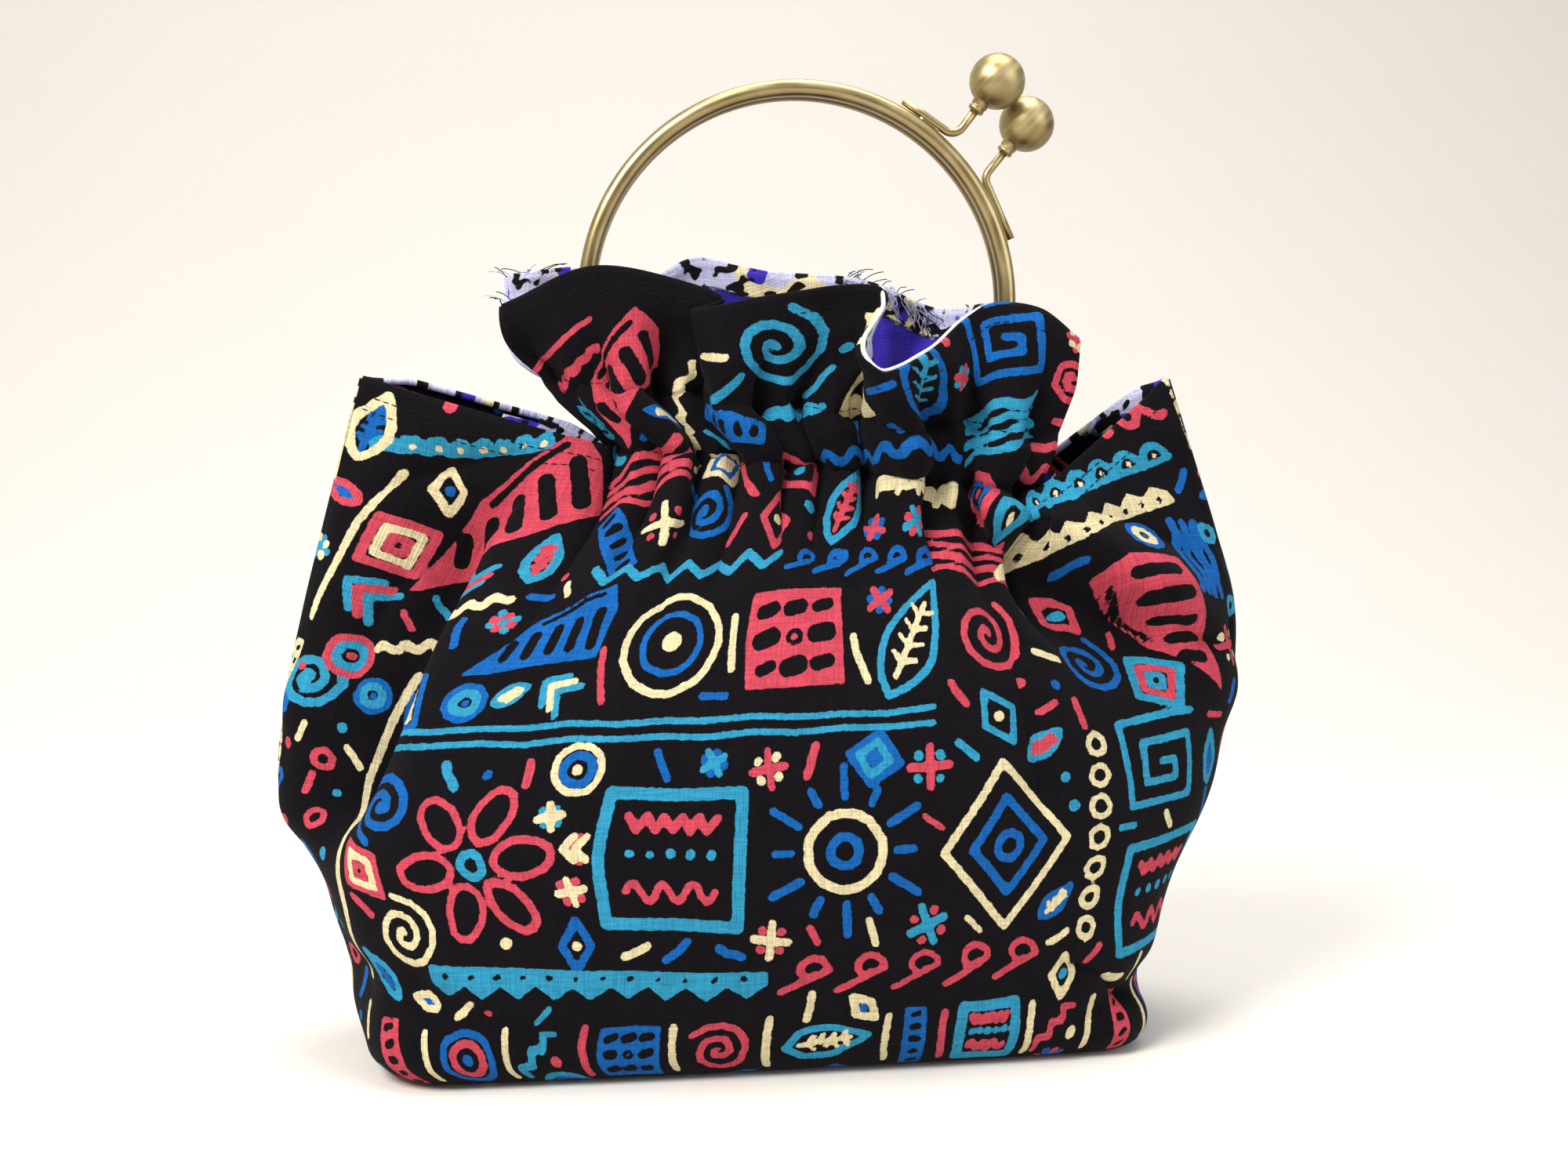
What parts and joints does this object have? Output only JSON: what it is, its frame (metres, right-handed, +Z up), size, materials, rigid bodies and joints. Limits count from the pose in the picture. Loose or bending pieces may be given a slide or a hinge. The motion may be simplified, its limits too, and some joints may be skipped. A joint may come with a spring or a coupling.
{
  "type": "reversible handbag",
  "caption": "Soft cloth handbag, printed outside and lined, gathered on round metal hoops that make the handle and close with ball clasps under a ruffled top.",
  "frame": {"origin": "middle of the bounding box on the plane that the bag rests on", "axes": "+Z up, -Y towards the front panel with the taller view of the clasp at +X, +X to the right seen from the front"},
  "size_m": [0.333, 0.134, 0.3401],
  "materials": {
    "printed_cloth": "black plain-weave cotton with a hand-drawn geometric print",
    "lining_cloth": "violet-blue plain-weave cotton",
    "brass": "brushed antique brass"
  },
  "bodies": {
    "root": {"front_panel": "printed_cloth", "front_lining": "lining_cloth", "back_panel": "printed_cloth", "back_lining": "lining_cloth", "front_hoop": "brass", "front_clasp_ball": "brass", "back_hoop": "brass", "back_clasp_ball": "brass", "frame_hinge": "brass"}
  },
  "joints": []
}
